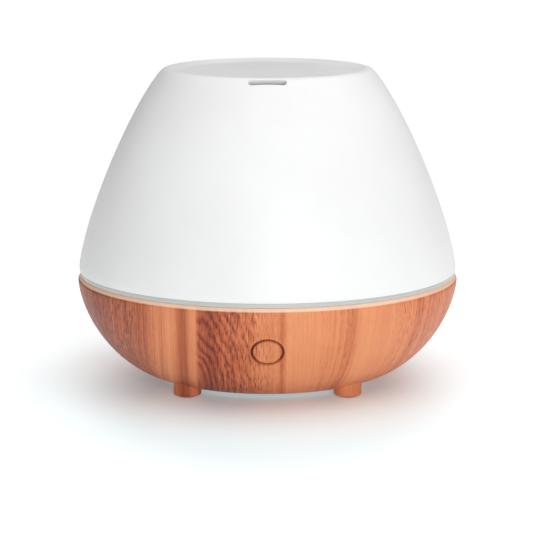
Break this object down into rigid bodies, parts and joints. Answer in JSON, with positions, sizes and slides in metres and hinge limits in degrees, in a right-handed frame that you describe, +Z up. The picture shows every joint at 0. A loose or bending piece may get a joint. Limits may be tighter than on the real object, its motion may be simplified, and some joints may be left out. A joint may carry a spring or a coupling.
{
  "type": "ultrasonic essential oil diffuser",
  "caption": "Dome-topped ultrasonic aroma diffuser: lift-off frosted cover over a water tank, in a bowl-shaped wood-grain base with front button and fan.",
  "frame": {"origin": "centre of the underside of the foot pads, on the surface the diffuser stands on", "axes": "+Z up, -Y towards the button side, +X to the right as seen from the front"},
  "size_m": [0.168, 0.168, 0.138],
  "materials": {
    "frosted_cover": "frosted, translucent",
    "splash_cover": "translucent, satin",
    "wood_grain": "satin wood-grain print",
    "white_plastic": "satin white",
    "rubber": "matt",
    "steel": "plated",
    "ceramic_disc": "plated ceramic",
    "circuit_board": "green solder mask",
    "led": "clear dome on a white body",
    "black_plastic": "moulded",
    "aluminium": "plain",
    "lead": "insulated"
  },
  "bodies": {
    "base": {"wood_shell": "wood_grain", "water_tank": "white_plastic", "air_duct": "white_plastic", "bottom_cover": "white_plastic", "fan_duct": "white_plastic", "button_guide": "white_plastic", "board_connector": "white_plastic", "foot_pad_1": "rubber", "foot_pad_2": "rubber", "foot_pad_3": "rubber", "foot_pad_4": "rubber", "transducer_seal": "rubber", "bottom_screw_1": "steel", "bottom_screw_2": "steel", "bottom_screw_3": "steel", "bottom_screw_4": "steel", "clamp_screw_1": "steel", "clamp_screw_2": "steel", "clamp_screw_3": "steel", "transducer_clamp": "steel", "led_board_screw_1": "steel", "led_board_screw_2": "steel", "board_screw_1": "steel", "board_screw_2": "steel", "board_screw_3": "steel", "board_screw_4": "steel", "fan_screw_1": "steel", "fan_screw_2": "steel", "tact_switch": "steel", "transducer_disc": "ceramic_disc", "led_board": "circuit_board", "driver_board": "circuit_board", "button_board": "circuit_board", "led_1": "led", "led_2": "led", "led_3": "led", "led_4": "led", "led_5": "led", "led_6": "led", "inductor": "black_plastic", "power_transistor": "black_plastic", "control_chip": "black_plastic", "fan_frame": "black_plastic", "dc_jack": "black_plastic", "capacitor_1": "aluminium", "capacitor_2": "aluminium", "heat_sink": "aluminium", "lead_power": "lead", "lead_fan": "lead", "lead_transducer": "lead", "lead_led": "lead", "lead_button": "lead"},
    "dome": {"dome_cover": "frosted_cover"},
    "splash_cover": {"inner_cover": "splash_cover", "mist_chimney": "splash_cover"},
    "fan": {"fan_rotor": "black_plastic"},
    "button": {"button_cap": "wood_grain", "switch_plunger": "black_plastic"}
  },
  "joints": [
    {"name": "dome_lift", "type": "slide", "parent": "base", "child": "dome", "axis": [0, 0, 1], "range_m": [0, 0.17]},
    {"name": "inner_cover_lift", "type": "slide", "parent": "base", "child": "splash_cover", "axis": [0, 0, 1], "range_m": [0, 0.085]},
    {"name": "fan_spin", "type": "hinge", "parent": "base", "child": "fan", "pos_m": [0, 0.028, 0.0135], "axis": [0, 0, 1], "continuous": true},
    {"name": "button_press", "type": "slide", "parent": "base", "child": "button", "axis": [0, 0.8828, 0.4697], "range_m": [0, 0.0006], "stiffness_N_per_m": 2000, "springref_m": -0.0002}
  ],
  "couplings": [
    {"joint": "inner_cover_lift", "follows": "dome_lift", "ratio": 0.5}
  ]
}
